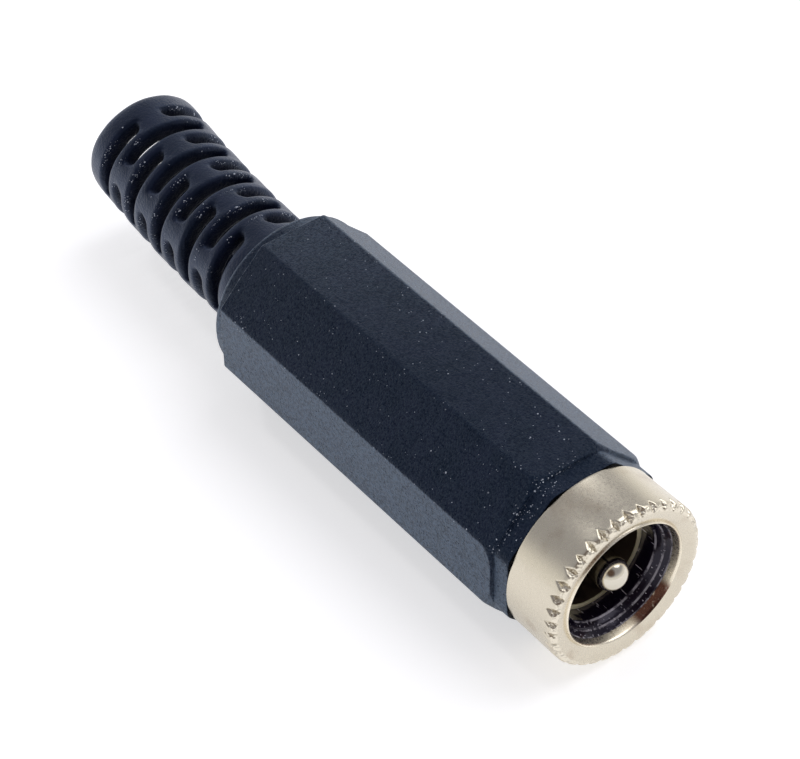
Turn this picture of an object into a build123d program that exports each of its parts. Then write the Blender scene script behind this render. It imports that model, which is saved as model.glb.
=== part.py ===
from build123d import *
import math
import os

# In-line power socket for a 5.5 x 2.1 mm barrel plug: a turned nose shell that carries the
# socket body, the centre pin and the contacts, screwed into a moulded handle whose tail is
# the slotted strain relief of the cable.
# Frame: +X along the axis towards the mouth, +Z up, origin on the axis in the nose's front
# face. The handle lies on one flat of its octagon. Sizes in millimetres.

# Plug and centre pin
PLUG_D = 5.5
PLUG_GAP = 0.5
PIN_D = 2.0
PIN_SETBACK = 0.39
PIN_FLANGE_D = 3.2
PIN_FLANGE_LENGTH = 0.5
PIN_SHANK_D = 1.4
PEEN_D = 2.0
PEEN_LENGTH = 0.35

# Moulded socket body
BODY_WALL = 0.7
BODY_LENGTH = 11.3
FLOOR_THICKNESS = 1.6
LEAD_IN_DEPTH = 0.9
BOSS_D = 3.4
BOSS_RISE = 0.5

# Turned nose shell
SHELL_WALL = 0.43
LIP_DEPTH = 0.69
LIP_HOLD = 0.16
LIP_TAPER = 0.17
NOSE_RISE = 0.15
NOSE_LENGTH = 3.75
NOSE_BEVEL = 0.34
NOSE_BACK_BEVEL = 0.12
RIM_LENGTH = 0.4
RIM_HOLD = 0.5
NOTCH_COUNT = 38
NOTCH_DEPTH = 0.16
NOTCH_ANGLE = 36.0

# Rolled sleeve contact
CONTACT_SHEET = 0.3
CONTACT_SETBACK = 2.55
CONTACT_SEAM = 0.6
TONGUE_COUNT = 3
TONGUE_LENGTH = 4.6
TONGUE_WIDTH = 1.5
TONGUE_SLIT = 0.25
TONGUE_PRESS = 0.15
TONGUE_END_MARGIN = 0.9
CONTACT_TAB_WIDTH = 1.6

# Stamped solder lugs
LUG_SHEET = 0.4
LUG_HOLE_D = 1.0
LUG_HOLE_MARGIN = 1.3
PIN_LUG_LENGTH = 5.4
PIN_LUG_WIDTH = 1.8
SLEEVE_LUG_LENGTH = 6.0
SLEEVE_LUG_WIDTH = 2.4
CLAW_LENGTH = 3.0
CLAW_OPENING = 130.0

# Moulded handle
COLLAR_WALL = 0.65
COLLAR_LENGTH = 1.14
COLLAR_CORNER = 1.1
GRIP_STEP = 0.235
GRIP_LENGTH = 24.5
GRIP_CORNER = 0.3
GRIP_SIDES = 8
FRONT_CUT = 0.36
FRONT_CUT_LENGTH = 0.5
SHOULDER_LENGTH = 0.8
SHOULDER_BREAK = 0.15
SEAT_RELIEF = 0.5
CAVITY_WALL = 1.2
CAVITY_END = 2.9
CAVITY_CONE = 1.8
CAVITY_STEP = 0.2

# Strain relief, bent slightly from the handle's axis
CABLE_D = 4.6
TAIL_D = 7.5
TAIL_LENGTH = 16.35
TAIL_END_BREAK = 0.25
OUTLET_LENGTH = 1.5
TAIL_RUNS = 3
BEND_RADIUS = 111.0
BEND_TURN = 40.7
SLOT_ROWS = 9
SLOTS_PER_ROW = 3
SLOT_WIDTH = 0.95
SLOT_START = 2.53
SLOT_END_MARGIN = 2.04
SLOT_TURN = 6.0
SLOT_TAPER = 1.0
SLOT_TIP = 0.45
BRIDGE_ANGLE = 25.0

# Clearances of the fits
BODY_FIT = 0.02
CONTACT_FIT = 0.02
PIN_FIT = 0.02
LUG_FIT = 0.05
THREAD_FIT = 0.05
CABLE_GAP = 0.5
CUT_MARGIN = 1.0

# Sizes that follow from the fits, from the plug outwards
SOCKET_D = PLUG_D + 2 * PLUG_GAP
BODY_D = SOCKET_D + 2 * BODY_WALL
MOUTH_D = BODY_D - 2 * LIP_HOLD
SHELL_BORE_D = BODY_D + 2 * BODY_FIT
BARREL_D = SHELL_BORE_D + 2 * SHELL_WALL
SEAT_D = BARREL_D + 2 * THREAD_FIT
COLLAR_ACROSS = SEAT_D + 2 * COLLAR_WALL
GRIP_ACROSS = COLLAR_ACROSS + 2 * GRIP_STEP
NOSE_D = COLLAR_ACROSS + 2 * NOSE_RISE
CAVITY_D = GRIP_ACROSS - 2 * CAVITY_WALL
BORE_D = CABLE_D + 2 * CABLE_GAP
SLOT_PITCH = (TAIL_LENGTH - SLOT_START - SLOT_END_MARGIN) / (SLOT_ROWS - 1)
CORNER_SHARE = 1 / math.cos(math.pi / GRIP_SIDES)

# Places along the axis, from the mouth backwards
X_BODY = -LIP_DEPTH
X_CONTACT = -CONTACT_SETBACK
X_BODY_BACK = X_BODY - BODY_LENGTH
X_FLOOR = X_BODY_BACK + FLOOR_THICKNESS
X_SLEEVE_LUG_BACK = X_BODY_BACK - LUG_SHEET
X_SHELL_BACK = X_SLEEVE_LUG_BACK - RIM_LENGTH
X_BOSS_BACK = X_SLEEVE_LUG_BACK - BOSS_RISE
X_PIN_LUG_BACK = X_BOSS_BACK - LUG_SHEET
X_HANDLE = -NOSE_LENGTH
X_GRIP = X_HANDLE - COLLAR_LENGTH
X_GRIP_BACK = X_GRIP - GRIP_LENGTH
X_TAIL = X_GRIP_BACK - SHOULDER_LENGTH
X_SEAT_BACK = X_SHELL_BACK - SEAT_RELIEF
X_CAVITY_BACK = X_GRIP_BACK + CAVITY_END
X_CONE_BACK = X_CAVITY_BACK - CAVITY_CONE


def turned(points):
    """Solid of revolution about the X axis from (x, radius) points."""
    outline = Polyline(*points, close=True)
    return revolve(Plane.XZ * make_face(outline), axis=Axis.X)


def rod(x_front, x_back, diameter):
    """Round bar on the axis between two places."""
    disc = Plane.YZ.offset(x_back) * Circle(diameter / 2)
    return extrude(disc, amount=x_front - x_back)


def octagon(x_front, x_back, across, corner):
    """Prism with a flat underneath and rounded long edges."""
    outline = RegularPolygon(across / 2, GRIP_SIDES, major_radius=False, rotation=180 / GRIP_SIDES)
    outline = fillet(outline.vertices(), corner)
    return extrude(Plane.YZ.offset(x_back) * outline, amount=x_front - x_back)


def bar(x_front, x_back, y_width, z_low, z_high):
    """Straight strip along the axis, centred on Y."""
    size_x = x_front - x_back
    size_z = z_high - z_low
    centre = Location(((x_front + x_back) / 2, 0, (z_low + z_high) / 2))
    return centre * Box(size_x, y_width, size_z)


def tail_plane(run):
    """Plane across the bent tail, at a length along its centre line."""
    turn = run / BEND_RADIUS
    lean = math.radians(BEND_TURN)
    rise = BEND_RADIUS * (1 - math.cos(turn))
    point = (X_TAIL - BEND_RADIUS * math.sin(turn), rise * math.sin(lean), rise * math.cos(lean))
    along = (-math.cos(turn), math.sin(turn) * math.sin(lean), math.sin(turn) * math.cos(lean))
    return Plane(origin=point, x_dir=(0, math.cos(lean), -math.sin(lean)), z_dir=along)


def tail_spine():
    """Corners of the straight runs that make up the bent tail, from the cavity to the open end."""
    outlet_run = TAIL_LENGTH - OUTLET_LENGTH
    start_run = X_TAIL - X_CONE_BACK - CUT_MARGIN
    step = (outlet_run - start_run) / TAIL_RUNS
    points = [tail_plane(start_run + i * step).origin for i in range(TAIL_RUNS + 1)]
    outlet = tail_plane(outlet_run)
    return [*points, outlet.origin + outlet.z_dir * OUTLET_LENGTH]


def bent_bar(diameter, margin=0):
    """Round bar along the tail's straight runs, mitred where they meet, with a margin at its end."""
    points = tail_spine()
    runs = [end - start for start, end in zip(points, points[1:])]
    lengths = [run.length + 2 * diameter for run in runs[:-1]]
    lengths.append(runs[-1].length + diameter + margin)
    bars = []
    for point, run, length in zip(points, runs, lengths):
        foot = Plane(origin=point, z_dir=run).offset(-diameter)
        bars.append(extrude(foot * Circle(diameter / 2), amount=length))
    for i, point in enumerate(points[1:-1]):
        mitre = Plane(origin=point, z_dir=runs[i].normalized() + runs[i + 1].normalized())
        bars[i] = split(bars[i], bisect_by=mitre, keep=Keep.BOTTOM)
        bars[i + 1] = split(bars[i + 1], bisect_by=mitre, keep=Keep.TOP)
    return bars[0] + bars[1:]


def make_nose_shell():
    """Turned head with a notched edge, and the barrel that screws into the handle."""
    rim_r = SHELL_BORE_D / 2 - RIM_HOLD
    shell = turned([
        (0, MOUTH_D / 2 + LIP_TAPER),
        (0, NOSE_D / 2 - NOSE_BEVEL),
        (-NOSE_BEVEL, NOSE_D / 2),
        (X_HANDLE + NOSE_BACK_BEVEL, NOSE_D / 2),
        (X_HANDLE, NOSE_D / 2 - NOSE_BACK_BEVEL),
        (X_HANDLE, BARREL_D / 2),
        (X_SHELL_BACK, BARREL_D / 2),
        (X_SHELL_BACK, rim_r),
        (X_SLEEVE_LUG_BACK, rim_r),
        (X_SLEEVE_LUG_BACK, SHELL_BORE_D / 2),
        (X_BODY, SHELL_BORE_D / 2),
        (X_BODY, MOUTH_D / 2),
    ])
    side = (NOTCH_DEPTH + CUT_MARGIN) * math.sqrt(2)
    reach = 2 * (NOSE_BEVEL + CUT_MARGIN)
    groove = Rot(X=45) * Box(reach, side, side)
    bevel_middle = Location((-NOSE_BEVEL / 2, 0, NOSE_D / 2 - NOSE_BEVEL / 2))
    lift = Location((0, 0, CUT_MARGIN))
    groove = bevel_middle * Rot(Y=NOTCH_ANGLE) * lift * groove
    step = 360 / NOTCH_COUNT
    grooves = [Rot(X=i * step) * groove for i in range(NOTCH_COUNT)]
    return shell - grooves


def make_socket_body():
    """Moulded body: funnel, plug bore, floor with the pin's hole and a boss behind."""
    body = turned([
        (X_BODY, MOUTH_D / 2),
        (X_BODY, BODY_D / 2),
        (X_BODY_BACK, BODY_D / 2),
        (X_BODY_BACK, BOSS_D / 2),
        (X_BOSS_BACK, BOSS_D / 2),
        (X_BOSS_BACK, PIN_SHANK_D / 2 + PIN_FIT),
        (X_FLOOR, PIN_SHANK_D / 2 + PIN_FIT),
        (X_FLOOR, SOCKET_D / 2),
        (X_BODY - LEAD_IN_DEPTH, SOCKET_D / 2),
    ])
    tab_slot = bar(
        X_FLOOR + CUT_MARGIN,
        X_BODY_BACK - CUT_MARGIN,
        CONTACT_TAB_WIDTH + 2 * CONTACT_FIT,
        -SOCKET_D / 2,
        -SOCKET_D / 2 + CONTACT_SHEET + 2 * CONTACT_FIT,
    )
    return body - tab_slot


def make_centre_pin():
    """Turned pin with a round tip, a flange on the floor and a tail peened over its lug."""
    tip_x = -PIN_SETBACK
    tip_centre = tip_x - PIN_D / 2
    flange_x = X_FLOOR + PIN_FLANGE_LENGTH
    profile = [
        Line((tip_x, 0), (X_PIN_LUG_BACK - PEEN_LENGTH, 0)),
        Polyline(
            (X_PIN_LUG_BACK - PEEN_LENGTH, 0),
            (X_PIN_LUG_BACK - PEEN_LENGTH, PIN_SHANK_D / 2),
            (X_PIN_LUG_BACK, PEEN_D / 2),
            (X_PIN_LUG_BACK, PIN_SHANK_D / 2),
            (X_FLOOR, PIN_SHANK_D / 2),
            (X_FLOOR, PIN_FLANGE_D / 2),
            (flange_x, PIN_FLANGE_D / 2),
            (flange_x, PIN_D / 2),
            (tip_centre, PIN_D / 2),
        ),
        CenterArc((tip_centre, 0), PIN_D / 2, 0, 90),
    ]
    return revolve(Plane.XZ * make_face(profile), axis=Axis.X)


def make_sleeve_contact():
    """Rolled spring sleeve with an open seam, pressed-in tongues and a tab through the floor."""
    outer_r = SOCKET_D / 2 - CONTACT_FIT
    inner_r = outer_r - CONTACT_SHEET
    back_x = X_FLOOR + LUG_FIT
    sleeve = rod(X_CONTACT, back_x, 2 * outer_r) - rod(X_CONTACT, back_x, 2 * inner_r)
    seam = bar(X_CONTACT, back_x, CONTACT_SEAM, inner_r - CUT_MARGIN, outer_r + CUT_MARGIN)
    sleeve -= seam
    root_x = X_CONTACT - TONGUE_END_MARGIN
    window = bar(
        root_x,
        root_x - TONGUE_LENGTH - TONGUE_SLIT,
        TONGUE_WIDTH + 2 * TONGUE_SLIT,
        inner_r - CUT_MARGIN,
        outer_r + CUT_MARGIN,
    )
    lean = math.degrees(math.atan2(TONGUE_PRESS, TONGUE_LENGTH))
    blade = bar(0, -TONGUE_LENGTH, TONGUE_WIDTH, -CONTACT_SHEET / 2, CONTACT_SHEET / 2)
    root = Location((root_x + LUG_FIT, 0, inner_r + CONTACT_SHEET / 3))
    tongue = root * Rot(Y=-lean) * blade
    step = 360 / TONGUE_COUNT
    for i in range(TONGUE_COUNT):
        turn = Rot(X=(i + 0.5) * step)
        sleeve = sleeve - turn * window + turn * tongue
    tab = bar(
        back_x + TONGUE_SLIT,
        X_BODY_BACK,
        CONTACT_TAB_WIDTH,
        -outer_r + CONTACT_FIT,
        -inner_r,
    )
    return sleeve + tab


def make_pin_lug():
    """Stamped lug: a disc under the peened tail and a bent-back tab with a wire hole."""
    disc = rod(X_BOSS_BACK, X_PIN_LUG_BACK, BOSS_D)
    tab_low = PEEN_D / 2 + LUG_FIT
    tab_back = X_BOSS_BACK - PIN_LUG_LENGTH
    tab = bar(X_BOSS_BACK, tab_back, PIN_LUG_WIDTH, tab_low, tab_low + LUG_SHEET)
    hole_x = tab_back + LUG_HOLE_MARGIN
    hole = Location((hole_x, 0, tab_low)) * Cylinder(LUG_HOLE_D / 2, 4 * LUG_SHEET)
    shank_hole = rod(X_BOSS_BACK, X_PIN_LUG_BACK, PIN_SHANK_D + 2 * PIN_FIT)
    return disc - shank_hole + tab - hole


def make_sleeve_lug():
    """Stamped lug: a ring behind the socket body, a tab, and claws that grip the cable."""
    ring = rod(X_BODY_BACK, X_SLEEVE_LUG_BACK, BODY_D)
    ring -= rod(X_BODY_BACK, X_SLEEVE_LUG_BACK, BOSS_D + 2 * LUG_FIT)
    claw_inner = CABLE_D / 2
    claw_outer = claw_inner + LUG_SHEET
    tab_back = X_SLEEVE_LUG_BACK - SLEEVE_LUG_LENGTH
    tab = bar(X_BODY_BACK, tab_back, SLEEVE_LUG_WIDTH, -claw_outer, -claw_inner)
    claws = rod(tab_back, tab_back - CLAW_LENGTH, 2 * claw_outer)
    claws -= rod(tab_back, tab_back - CLAW_LENGTH, 2 * claw_inner)
    reach = 2 * claw_outer
    half = math.radians(CLAW_OPENING / 2)
    gap = Polyline(
        (0, 0),
        (reach * math.sin(half), reach * math.cos(half)),
        (0, 2 * reach),
        (-reach * math.sin(half), reach * math.cos(half)),
        close=True,
    )
    claws -= extrude(Plane.YZ.offset(tab_back) * make_face(gap), amount=-CLAW_LENGTH)
    link = bar(tab_back + LUG_SHEET, tab_back - CLAW_LENGTH, LUG_SHEET, -claw_outer, -claw_inner)
    hole_x = X_SLEEVE_LUG_BACK - LUG_HOLE_MARGIN
    hole = Location((hole_x, 0, -claw_inner)) * Cylinder(LUG_HOLE_D / 2, 4 * LUG_SHEET)
    return ring + tab + claws + link - hole


def tail_slot():
    """One slot of the strain relief on the XY plane: its edge nearer the grip runs in at both ends."""
    inner_r = BORE_D / 2 - SLOT_WIDTH / 2
    outer_r = TAIL_D / 2 + CUT_MARGIN
    near = -SLOT_WIDTH / 2
    far = SLOT_WIDTH / 2
    taper_angle = math.degrees(SLOT_TAPER / (TAIL_D / 2))
    half_angle = (360 / SLOTS_PER_ROW - BRIDGE_ANGLE) / 2 - taper_angle
    side_x = math.cos(math.radians(half_angle))
    side_y = math.sin(math.radians(half_angle))
    sector = Polyline(
        (inner_r * side_x, -inner_r * side_y),
        (outer_r * side_x, -outer_r * side_y),
        (outer_r / side_x, 0),
        (outer_r * side_x, outer_r * side_y),
        (inner_r * side_x, inner_r * side_y),
        close=True,
    )
    slot = extrude(make_face(sector), amount=SLOT_WIDTH / 2, both=True)
    for side in (-1, 1):
        outline = Polyline(
            (0, near),
            (side * SLOT_TAPER, far - SLOT_TIP),
            (side * SLOT_TAPER, far),
            (0, far),
            close=True,
        )
        face = Plane.YZ.offset(inner_r) * make_face(outline)
        end = extrude(face, amount=outer_r - inner_r, dir=(1, 0, 0))
        slot += Rot(Z=side * half_angle) * end
    return slot


def tail_body():
    """Bent tail with a broken edge at its tip."""
    tail = bent_bar(TAIL_D)
    tip = tail.faces().sort_by(Axis.X)[0]
    return chamfer(tip.edges(), TAIL_END_BREAK)


def make_handle():
    """Octagonal grip with its collar, the terminal cavity and the slotted tail."""
    collar = octagon(X_HANDLE, X_GRIP, COLLAR_ACROSS, COLLAR_CORNER)
    grip = octagon(X_GRIP, X_GRIP_BACK, GRIP_ACROSS, GRIP_CORNER)
    corner_r = GRIP_ACROSS / 2 * CORNER_SHARE
    grip &= turned([
        (X_GRIP, 0),
        (X_GRIP, corner_r - FRONT_CUT),
        (X_GRIP - FRONT_CUT_LENGTH, corner_r),
        (X_GRIP_BACK, corner_r),
        (X_GRIP_BACK, 0),
    ])
    shoulder = turned([
        (X_GRIP_BACK, 0),
        (X_GRIP_BACK, GRIP_ACROSS / 2),
        (X_TAIL + SHOULDER_BREAK, GRIP_ACROSS / 2),
        (X_TAIL, GRIP_ACROSS / 2 - SHOULDER_BREAK),
        (X_TAIL, 0),
    ])
    handle = collar + grip + shoulder + tail_body()
    cavity = turned([
        (X_HANDLE, 0),
        (X_HANDLE, SEAT_D / 2),
        (X_SEAT_BACK, SEAT_D / 2),
        (X_SEAT_BACK, CAVITY_D / 2),
        (X_CAVITY_BACK, CAVITY_D / 2),
        (X_CONE_BACK, BORE_D / 2 + CAVITY_STEP),
        (X_CONE_BACK, 0),
    ])
    bore = bent_bar(BORE_D, CUT_MARGIN)
    slot = tail_slot()
    slots = []
    for row in range(SLOT_ROWS):
        plane = tail_plane(SLOT_START + row * SLOT_PITCH)
        turn = SLOT_TURN + row * 180 / SLOTS_PER_ROW + 180 / SLOTS_PER_ROW
        for i in range(SLOTS_PER_ROW):
            angle = -90 - BEND_TURN - turn - i * 360 / SLOTS_PER_ROW
            slots.append(plane.location * Rot(Z=angle) * slot)
    return handle - cavity - bore - slots


PARTS = {
    "handle": make_handle,
    "nose_shell": make_nose_shell,
    "socket_body": make_socket_body,
    "centre_pin": make_centre_pin,
    "sleeve_contact": make_sleeve_contact,
    "pin_lug": make_pin_lug,
    "sleeve_lug": make_sleeve_lug,
}

os.makedirs("parts", exist_ok=True)
for name, make in PARTS.items():
    export_step(make(), f"parts/{name}.step")
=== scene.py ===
"""Looks of an in-line power socket: nickel nose, moulded handle with a slotted tail, and contacts."""
import logging
import math
from collections.abc import Callable, Sequence
from dataclasses import dataclass, field
from enum import Enum

import bmesh
import bpy
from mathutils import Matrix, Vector


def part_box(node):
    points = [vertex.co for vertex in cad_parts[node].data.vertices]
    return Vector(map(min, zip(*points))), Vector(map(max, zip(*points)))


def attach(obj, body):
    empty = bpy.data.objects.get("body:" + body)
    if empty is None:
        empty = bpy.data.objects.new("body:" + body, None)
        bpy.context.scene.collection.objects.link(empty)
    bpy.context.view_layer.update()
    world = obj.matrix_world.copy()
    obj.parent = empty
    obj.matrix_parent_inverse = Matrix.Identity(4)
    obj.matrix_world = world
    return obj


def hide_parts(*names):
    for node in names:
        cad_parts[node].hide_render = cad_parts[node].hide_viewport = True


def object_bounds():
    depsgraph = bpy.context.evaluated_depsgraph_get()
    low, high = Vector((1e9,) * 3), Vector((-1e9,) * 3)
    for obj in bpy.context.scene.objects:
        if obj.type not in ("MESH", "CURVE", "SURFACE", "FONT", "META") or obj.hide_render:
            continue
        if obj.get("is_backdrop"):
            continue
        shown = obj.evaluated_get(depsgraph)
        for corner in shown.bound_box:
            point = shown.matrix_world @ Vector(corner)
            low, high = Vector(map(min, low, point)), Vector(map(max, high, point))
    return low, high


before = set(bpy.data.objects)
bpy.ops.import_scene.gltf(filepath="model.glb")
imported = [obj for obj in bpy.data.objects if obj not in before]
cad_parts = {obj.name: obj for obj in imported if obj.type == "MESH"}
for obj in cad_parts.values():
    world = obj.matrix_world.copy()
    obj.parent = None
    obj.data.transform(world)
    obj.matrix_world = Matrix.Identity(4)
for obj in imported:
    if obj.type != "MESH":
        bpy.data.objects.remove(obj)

LOG = logging.getLogger("power_socket")
MM = 0.001
MERGE_DISTANCE = 1e-7
GRIP_SIDES = 8
TURN = 2 * math.pi
EASE_REACH = 0.48
LINE_CORE = 0.4
SPECK_SPREAD = 1.4
SCRATCH_SPACING = 0.16
# Places of a colour mix's sockets among those that its node has for all kinds of data
MIX_INPUTS = (0, 6, 7)
MIX_OUTPUT = 2

Point = tuple[float, float]
Colour = tuple[float, float, float]
Face = tuple[int, ...]
Place = tuple[float, float, float]


class Edges(Enum):
    """How steep an edge stays crisp, in degrees between its two faces."""

    SOFT = 180.0
    MOULDED = 40.0
    TURNED = 28.0


class Gloss(Enum):
    """Roughness of the object's finishes."""

    POLISHED = 0.16
    PLATED = 0.3
    MOULDED = 0.36
    GRAINED = 0.5


class SlotPart(Enum):
    """Where a ring of the tail's cage stands against a row of slots."""

    NONE = 0
    NEAR = 1
    MIDDLE = 2
    FAR = 3


@dataclass(frozen=True)
class Extent:
    """Reach of a solid of the frame along and around the axis, in millimetres."""

    front: float
    back: float
    low: float
    radius: float

    @classmethod
    def of(cls, node: str) -> "Extent":
        """Measures a node.

        Args:
            node: Name of the solid in the frame.

        Returns:
            Its reach, with the radius taken across Y.
        """
        low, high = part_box(node)
        return cls(high.x / MM, low.x / MM, low.z / MM, high.y / MM)


@dataclass(frozen=True)
class Corner:
    """Corner of an outline in the half plane of the axis, and the length it is eased over."""

    x: float
    r: float
    ease: float = 0.0


def eased(corners: Sequence[Corner], steps: int = 4) -> list[Point]:
    """Rounds the corners of a closed outline.

    Args:
        corners: Corners in order round the outline.
        steps: Segments of each rounded corner.

    Returns:
        Points of the outline as (x, radius).
    """
    points: list[Point] = []
    for i, corner in enumerate(corners):
        here = Vector((corner.x, corner.r))
        before = Vector((corners[i - 1].x, corners[i - 1].r)) - here
        after_corner = corners[(i + 1) % len(corners)]
        after = Vector((after_corner.x, after_corner.r)) - here
        if corner.ease == 0:
            points.append((corner.x, corner.r))
            continue
        reach = min(corner.ease, EASE_REACH * before.length, EASE_REACH * after.length)
        start = here + before.normalized() * reach
        end = here + after.normalized() * reach
        for step in range(steps + 1):
            t = step / steps
            spot = start * (1 - t) ** 2 + here * (2 * t * (1 - t)) + end * t ** 2
            points.append((spot.x, spot.y))
    return points


def around(x: float, angle: float, radius: float) -> Vector:
    """Gives the point at an angle, in radians from +Z towards -Y, and a radius from the axis."""
    return Vector((x, -radius * math.sin(angle), radius * math.cos(angle)))


def octagon_radius(angle: float, across: float, corner: float) -> float:
    """Distance from the axis to an octagon with rounded corners.

    Args:
        angle: Angle from the middle of a flat, in radians.
        across: Width across the flats.
        corner: Radius of the rounded corners.

    Returns:
        The distance, in the unit of the sizes.
    """
    half = math.pi / GRIP_SIDES
    off = abs((angle + half) % (2 * half) - half)
    core = across / 2 - corner
    if math.tan(off) * across / 2 <= core * math.tan(half):
        return across / 2 / math.cos(off)
    centre = core / math.cos(half)
    away = half - off
    return centre * math.cos(away) + math.sqrt(corner ** 2 - (centre * math.sin(away)) ** 2)


def link(obj: bpy.types.Object) -> bpy.types.Object:
    """Puts an object into the scene and returns it."""
    bpy.context.scene.collection.objects.link(obj)
    return obj


def finish_mesh(mesh: bpy.types.Mesh, edges: Edges) -> None:
    """Merges doubles, turns the faces outwards and shades them.

    Args:
        mesh: Closed mesh in metres.
        edges: Which edges stay crisp.
    """
    shape = bmesh.new()
    shape.from_mesh(mesh)
    bmesh.ops.remove_doubles(shape, verts=shape.verts, dist=MERGE_DISTANCE)
    bmesh.ops.recalc_face_normals(shape, faces=shape.faces)
    shape.to_mesh(mesh)
    shape.free()
    mesh.shade_smooth()
    mesh.set_sharp_from_angle(angle=math.radians(edges.value))


def mesh_piece(name: str, points: Sequence[Vector], faces: Sequence[Face], edges: Edges) -> bpy.types.Object:
    """Makes an object from points in millimetres.

    Args:
        name: Name of the piece.
        points: Its vertices.
        faces: Its faces as indices of the vertices.
        edges: Which edges stay crisp.

    Returns:
        The object, at the origin, with its place in its mesh.
    """
    mesh = bpy.data.meshes.new(name)
    mesh.from_pydata([point * MM for point in points], [], faces)
    finish_mesh(mesh, edges)
    return link(bpy.data.objects.new(name, mesh))


def turned_piece(
    name: str,
    outline: Callable[[float], Sequence[Point]],
    angles: Sequence[float],
    edges: Edges = Edges.TURNED,
) -> bpy.types.Object:
    """Sweeps a closed outline round the axis.

    Args:
        name: Name of the piece.
        outline: Gives the outline at an angle, with as many points at every angle.
        angles: Angles of the sections, in radians, over one turn.
        edges: Which edges stay crisp.

    Returns:
        The object of the closed surface.
    """
    sections = [outline(angle) for angle in angles]
    count = len(sections[0])
    points = [around(x, angle, r) for angle, section in zip(angles, sections) for x, r in section]
    faces = []
    for i in range(len(angles)):
        here = i * count
        there = (i + 1) % len(angles) * count
        for j in range(count):
            k = (j + 1) % count
            corners = (here + j, here + k, there + k, there + j)
            if section_is_pole(sections[i], j, k):
                continue
            faces.append(corners)
    return mesh_piece(name, points, faces, edges)


def section_is_pole(section: Sequence[Point], j: int, k: int) -> bool:
    """Says whether a stretch of an outline lies on the axis, where it sweeps no face."""
    return section[j][1] == 0 and section[k][1] == 0


def even_angles(count: int) -> list[float]:
    """Gives angles evenly spaced over one turn, in radians."""
    return [TURN * i / count for i in range(count)]


@dataclass(frozen=True)
class Fade:
    """Smooth change from one value to another over a range."""

    low: float
    high: float
    start: float = 0.0
    end: float = 1.0


@dataclass(frozen=True)
class Grain:
    """Noise: size of its features in millimetres, and number and share of its finer layers."""

    size: float
    detail: float = 2.0
    rough: float = 0.5


@dataclass(frozen=True)
class Specks:
    """Sparse round specks: spacing and radius in millimetres, and share of the cells that hold one."""

    spacing: float
    size: float
    share: float


@dataclass(frozen=True)
class Scratches:
    """Sparse fine scratches: their turn out of the axis, length, half width and share."""

    turn: Place
    length: float
    width: float
    share: float


@dataclass(frozen=True)
class Chips:
    """Cluster of torn bright specks: its middle, its reach, and its half width along the axis."""

    middle: Place
    reach: float
    half_width: float


SPECK_GLOW = Fade(0.0, 1.0, 0.2, 1.0)


class NodeWork:
    """What the node trees of the object and of its studio are made with."""

    def __init__(self, tree: bpy.types.NodeTree) -> None:
        """Takes the tree that the nodes go into."""
        self.tree = tree

    def node(self, kind: str, **settings: object) -> bpy.types.Node:
        """Adds a node and sets its options.

        Args:
            kind: Type name of the node.
            **settings: Options of the node, such as its operation.

        Returns:
            The node.
        """
        node = self.tree.nodes.new(kind)
        for key, value in settings.items():
            setattr(node, key, value)
        return node

    def join(self, source: object, target: bpy.types.NodeSocket) -> None:
        """Links a socket to an input, or sets the input to a number, vector or colour.

        Args:
            source: What the input gets.
            target: The input.
        """
        if isinstance(source, bpy.types.NodeSocket):
            self.tree.links.new(source, target)
        elif target.type == "RGBA":
            target.default_value = (*source, 1.0)
        else:
            target.default_value = source

    def feed(self, node: bpy.types.Node, *values: object) -> bpy.types.Node:
        """Joins values to the inputs of a node in their order, and returns the node."""
        for value, target in zip(values, node.inputs):
            self.join(value, target)
        return node

    def math(self, operation: str, *values: object) -> bpy.types.NodeSocket:
        """Adds a Math node for sockets or numbers and gives its result."""
        return self.feed(self.node("ShaderNodeMath", operation=operation), *values).outputs[0]

    def measure(self, operation: str, *vectors: object) -> bpy.types.NodeSocket:
        """Adds a Vector Math node that gives a number, such as a distance."""
        return self.feed(self.node("ShaderNodeVectorMath", operation=operation), *vectors).outputs["Value"]

    def split(self, vector: bpy.types.NodeSocket) -> tuple[bpy.types.NodeSocket, ...]:
        """Gives the X, Y and Z of a vector."""
        return tuple(self.feed(self.node("ShaderNodeSeparateXYZ"), vector).outputs)

    def highest(self, *values: object) -> bpy.types.NodeSocket:
        """Gives the highest of several values."""
        return self.chain("MAXIMUM", *values)

    def product(self, *values: object) -> bpy.types.NodeSocket:
        """Gives the product of several values."""
        return self.chain("MULTIPLY", *values)

    def chain(self, operation: str, *values: object) -> bpy.types.NodeSocket:
        """Takes several values together, one after the other, by one operation."""
        result = values[0]
        for value in values[1:]:
            result = self.math(operation, result, value)
        return result

    def hypotenuse(self, first: bpy.types.NodeSocket, second: bpy.types.NodeSocket) -> bpy.types.NodeSocket:
        """Gives the length of the diagonal over two lengths square to each other."""
        squares = [self.product(value, value) for value in (first, second)]
        return self.math("SQRT", self.math("ADD", *squares))

    def between(self, value: object, fade: Fade, unit: float = 1.0) -> bpy.types.NodeSocket:
        """Maps a range smoothly to another.

        Args:
            value: Socket to map.
            fade: The range, and what its ends become.
            unit: Unit of the range, such as MM where the value is a length in metres.

        Returns:
            The mapped value.
        """
        node = self.node("ShaderNodeMapRange", interpolation_type="SMOOTHSTEP")
        return self.feed(node, value, fade.low * unit, fade.high * unit, fade.start, fade.end).outputs[0]

    def mix(self, share: object, first: object, second: object) -> bpy.types.NodeSocket:
        """Mixes two colours.

        Args:
            share: Share of the second colour.
            first: Socket or linear colour.
            second: Socket or linear colour.

        Returns:
            The mixed colour.
        """
        node = self.node("ShaderNodeMix", data_type="RGBA")
        for key, value in zip(MIX_INPUTS, (share, first, second)):
            self.join(value, node.inputs[key])
        return node.outputs[MIX_OUTPUT]


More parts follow.
